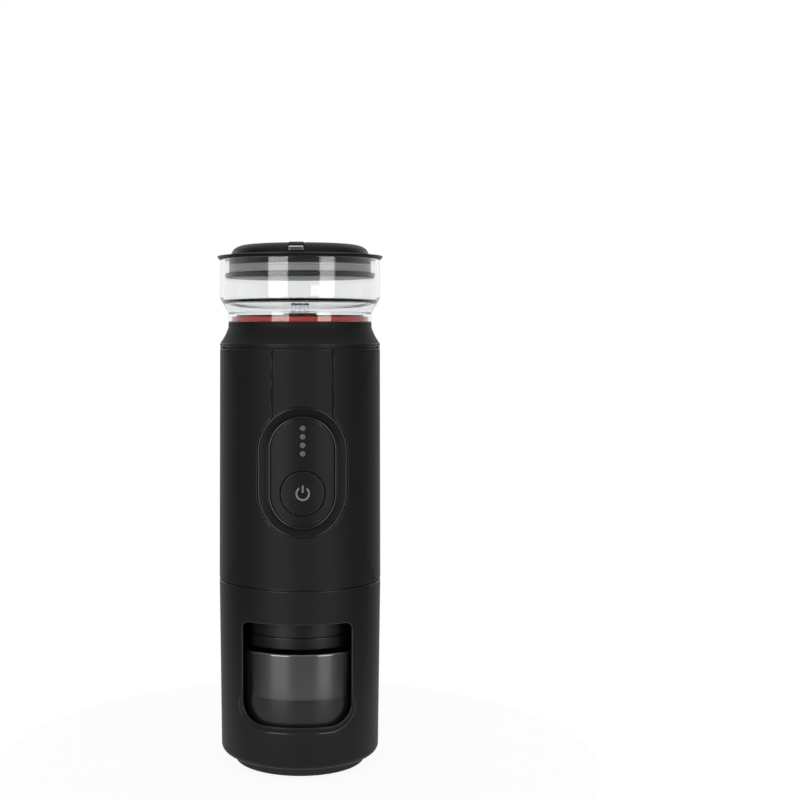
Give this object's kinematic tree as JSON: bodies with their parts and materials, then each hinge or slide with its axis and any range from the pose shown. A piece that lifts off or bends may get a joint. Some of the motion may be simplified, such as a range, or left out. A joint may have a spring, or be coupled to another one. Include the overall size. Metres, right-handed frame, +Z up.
{
  "type": "portable espresso maker",
  "caption": "Battery-driven tube-shaped espresso maker with a clear water tank and lid on top, a push button on the front and a windowed lower sleeve that holds a smoky cup.",
  "frame": {"origin": "centre of the foot ring on the surface that the maker stands on", "axes": "+Z up along the body's axis, -Y out of the front with the button, +X to the right seen from the front"},
  "size_m": [0.0746, 0.0746, 0.2329],
  "materials": {
    "body_plastic": "satin black moulded plastic",
    "sleeve_plastic": "satin black moulded plastic",
    "panel_plastic": "fine satin black plastic",
    "lid_plastic": "satin black moulded plastic",
    "flap_plastic": "polished black plastic",
    "plug_plastic": "grey moulded plastic",
    "head_plastic": "black heat-proof plastic",
    "frame_plastic": "dark grey moulded plastic",
    "clear_tank": "clear polished plastic",
    "smoky_cup": "smoky see-through plastic",
    "red_silicone": "red silicone",
    "black_rubber": "black rubber",
    "pale_silicone": "milky silicone",
    "light_pipe": "frosted light pipe",
    "symbol_paint": "grey inlay",
    "switch_parts": "black switch plastic",
    "circuit_board": "green solder mask",
    "cell_wrap": "blue shrink wrap over cells",
    "steel": "bright steel",
    "pump_brass": "machined brass",
    "gear_plastic": "natural acetal",
    "heater_metal": "cast aluminium"
  },
  "bodies": {
    "sleeve": {"cup_sleeve": "sleeve_plastic", "foot_pad": "black_rubber"},
    "cup": {"cup": "smoky_cup"},
    "housing": {"body_shell": "body_plastic", "top_collar": "body_plastic", "tank_seal": "red_silicone", "control_bezel": "panel_plastic", "control_panel": "panel_plastic", "indicator_lights": "light_pipe", "tact_switch": "switch_parts", "control_board": "circuit_board", "board_screws": "steel", "chassis": "frame_plastic", "battery_cells": "cell_wrap", "cell_strips": "steel", "battery_bracket": "frame_plastic", "pump_motor": "steel", "idler_pin": "steel", "pump_body": "pump_brass", "pump_cover": "pump_brass", "pump_screws": "steel", "suction_hose": "pale_silicone", "heater_block": "heater_metal", "thermostat": "heater_metal", "inlet_tube": "pale_silicone", "charge_board": "circuit_board", "usb_socket": "steel", "collar_screws": "steel", "base_screws": "steel", "brew_head": "head_plastic", "sleeve_seal": "black_rubber", "brew_seal": "pale_silicone", "shower_screen": "steel"},
    "button": {"brew_button": "panel_plastic", "button_symbol": "symbol_paint", "switch_plunger": "switch_parts"},
    "pump_drive": {"motor_shaft": "steel", "drive_gear": "gear_plastic"},
    "pump_idler": {"idler_gear": "gear_plastic"},
    "port_flap": {"port_cover": "black_rubber"},
    "holder": {"capsule_holder": "head_plastic", "coffee_basket": "steel"},
    "tank": {"water_tank": "clear_tank", "tank_o_ring": "black_rubber", "inlet_filter": "steel"},
    "lid": {"lid_cap": "lid_plastic", "lid_plug": "plug_plastic", "lid_seal": "black_rubber"},
    "vent": {"vent_flap": "flap_plastic"}
  },
  "joints": [
    {"name": "housing_lift", "type": "slide", "parent": "sleeve", "child": "housing", "axis": [0, 0, 1], "range_m": [0, 0.13]},
    {"name": "cup_lift", "type": "slide", "parent": "sleeve", "child": "cup", "axis": [0, 0, 1], "range_m": [0, 0.078]},
    {"name": "tank_lift", "type": "slide", "parent": "housing", "child": "tank", "axis": [0, 0, 1], "range_m": [0, 0.02]},
    {"name": "lid_lift", "type": "slide", "parent": "tank", "child": "lid", "axis": [0, 0, 1], "range_m": [0, 0.014]},
    {"name": "vent_hinge", "type": "hinge", "parent": "lid", "child": "vent", "pos_m": [-0.0017, -0.01943, 0.2321], "axis": [-0.9962, 0.0872, 0], "range_deg": [0, 80]},
    {"name": "button_press", "type": "slide", "parent": "housing", "child": "button", "axis": [0, 1, 0], "range_m": [0, 0.0008], "stiffness_N_per_m": 2500},
    {"name": "pump_drive_spin", "type": "hinge", "parent": "housing", "child": "pump_drive", "pos_m": [0, -0.009, 0.0965], "axis": [0, 0, 1], "continuous": true},
    {"name": "pump_idler_spin", "type": "hinge", "parent": "housing", "child": "pump_idler", "pos_m": [0, 0.0006, 0.0965], "axis": [0, 0, 1], "continuous": true},
    {"name": "port_flap_hinge", "type": "hinge", "parent": "housing", "child": "port_flap", "pos_m": [0, 0.03569, 0.15755], "axis": [-1, 0, 0], "range_deg": [0, 95]},
    {"name": "holder_twist", "type": "hinge", "parent": "housing", "child": "holder", "pos_m": [0, 0, 0.0775], "axis": [0, 0, 1], "range_deg": [0, 60]}
  ],
  "couplings": [
    {"joint": "cup_lift", "follows": "housing_lift", "ratio": 0.6},
    {"joint": "pump_idler_spin", "follows": "pump_drive_spin", "ratio": -1}
  ]
}
